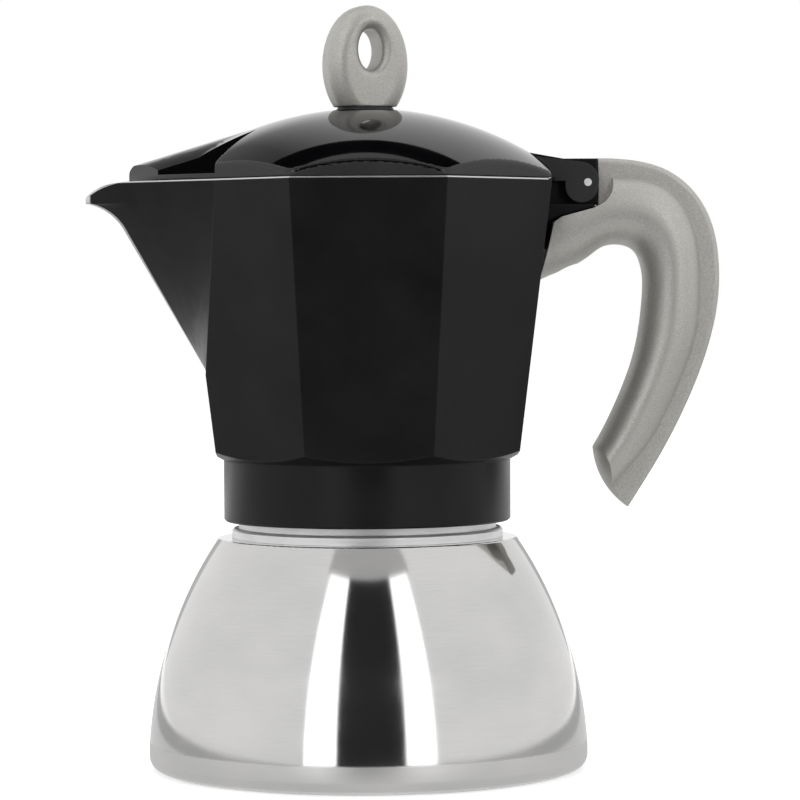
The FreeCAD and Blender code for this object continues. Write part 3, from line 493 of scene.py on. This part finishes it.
def stage_panel(name, azimuth, elevation, radius, material, diffuse=True):
    """Part of a big ball round the pot, between two azimuths and two elevations in degrees."""
    steps = 12
    work = bmesh.new()
    rows = []
    for i in range(steps + 1):
        el = math.radians(elevation[0] + (elevation[1] - elevation[0]) * i / steps)
        flat = radius * math.cos(el)
        level = radius * math.sin(el) + BALL_RISE
        row = []
        for k in range(steps + 1):
            az = math.radians(azimuth[0] + (azimuth[1] - azimuth[0]) * k / steps)
            row.append(work.verts.new((flat * math.sin(az), -flat * math.cos(az), level)))
        rows.append(row)
    for low, high in zip(rows, rows[1:]):
        for k in range(steps):
            work.faces.new((low[k], low[k + 1], high[k + 1], high[k]))
    mesh = bpy.data.meshes.new(name)
    work.to_mesh(mesh)
    work.free()
    mesh.materials.append(material)
    hide_card(bpy.data.objects.new(name, mesh), diffuse)


def floor_card(name, low, high, level, material):
    """Flat card just above the floor, between two corners."""
    mesh = bpy.data.meshes.new(name)
    mesh.from_pydata([(low[0], low[1], level), (high[0], low[1], level), (high[0], high[1], level),
                      (low[0], high[1], level)], [], [(0, 1, 2, 3)])
    mesh.materials.append(material)
    hide_card(bpy.data.objects.new(name, mesh), False)


def seen_directly(tree):
    """1 for camera, glossy and transmission rays, 0 for diffuse light."""
    path = tree.nodes.new("ShaderNodeLightPath")
    mirror = arithmetic(tree, "MAXIMUM", path.outputs["Is Glossy Ray"], path.outputs["Is Transmission Ray"])
    return arithmetic(tree, "MAXIMUM", path.outputs["Is Camera Ray"], mirror)


def floor():
    mesh = bpy.data.meshes.new("floor")
    mesh.from_pydata([(-8, -8, 0), (8, -8, 0), (8, 8, 0), (-8, 8, 0)], [], [(0, 1, 2, 3)])
    made, tree, shader = new_material("pale_floor", (0.9, 0.9, 0.9), 0.0, 0.6)
    speck = noise(tree, (30, 30, 30), 3.0)
    two_tone(tree, shader, speck, 0.3, 0.7, (0.90, 0.90, 0.90), (0.92, 0.92, 0.92))
    shader.inputs["Emission Color"].default_value = (1, 1, 1, 1)
    tree.links.new(ramp(tree, seen_directly(tree), 0, 1, 0.0, 0.45), shader.inputs["Emission Strength"])
    mesh.materials.append(made)
    ground = bpy.data.objects.new("floor", mesh)
    ground.location.z = -0.00005
    scene.collection.objects.link(ground)


def surround(strength):
    """White background for camera and mirrored rays, softer grey light on everything else."""
    world = bpy.data.worlds.new("studio")
    world.use_nodes = True
    tree = world.node_tree
    back = tree.nodes["Background"]
    tree.links.new(ramp(tree, seen_directly(tree), 0, 1, strength, 1.0), back.inputs["Strength"])
    back.inputs["Color"].default_value = (1, 1, 1, 1)
    scene.world = world


def lamp(name, location, target, size, power):
    data = bpy.data.lights.new(name, "AREA")
    data.shape = "DISK"
    data.size = size
    data.energy = power
    made = bpy.data.objects.new(name, data)
    made.location = location
    made.rotation_euler = (Vector(target) - Vector(location)).to_track_quat("-Z", "Y").to_euler()
    made.visible_glossy = False
    scene.collection.objects.link(made)


place_camera()
floor()
surround(0.52)
STRIP = glow("strip_light", 2.2)
stage_panel("left_strip", (-34, -17), (-2, 53), STRIP_REACH, STRIP)
stage_panel("right_strip", (18, 34), (-2, 53), STRIP_REACH, STRIP)
DARK = glow("dark_card", 0.03)
stage_panel("front_card", (-17, 18), (-2, 53), FRONT_REACH, DARK)
stage_panel("front_high", (-37, 37), (53, 86), HIGH_REACH, glow("front_grey", 0.55))
EDGE = glow("edge_card", 0.55)
stage_panel("left_edge", (190, 204), (-2, 14), BACK_REACH, EDGE, False)
stage_panel("right_edge", (156, 170), (-2, 14), BACK_REACH, EDGE, False)
stage_panel("back_left", (182, 220), (24, 57), BACK_REACH, fading_glow("back_dim", 0.7), False)
stage_panel("back_band", (140, 220), (57, 66), BACK_REACH, glow("black_card", 0.0), False)
stage_panel("back_high", (140, 220), (66, 86), BACK_REACH, glow("back_pale", 0.6), False)
floor_card("near_floor", (-0.16, -0.25), (0.16, 0.5), CARD_LEVEL, glow("near_card", 0.75))
DIM = glow("dim_card", 0.52)
floor_card("left_floor", (-1.6, -1.6), (-0.16, 0.5), CARD_LEVEL, DIM)
floor_card("right_floor", (0.16, -1.6), (1.6, 0.5), CARD_LEVEL, DIM)
floor_card("front_floor", (-0.35, -1.6), (0.35, -0.25), FRONT_CARD_LEVEL, DARK)
lamp("top_light", (0.0, 0.3, 1.6), (0, 0, 0.1), 1.4, 14)
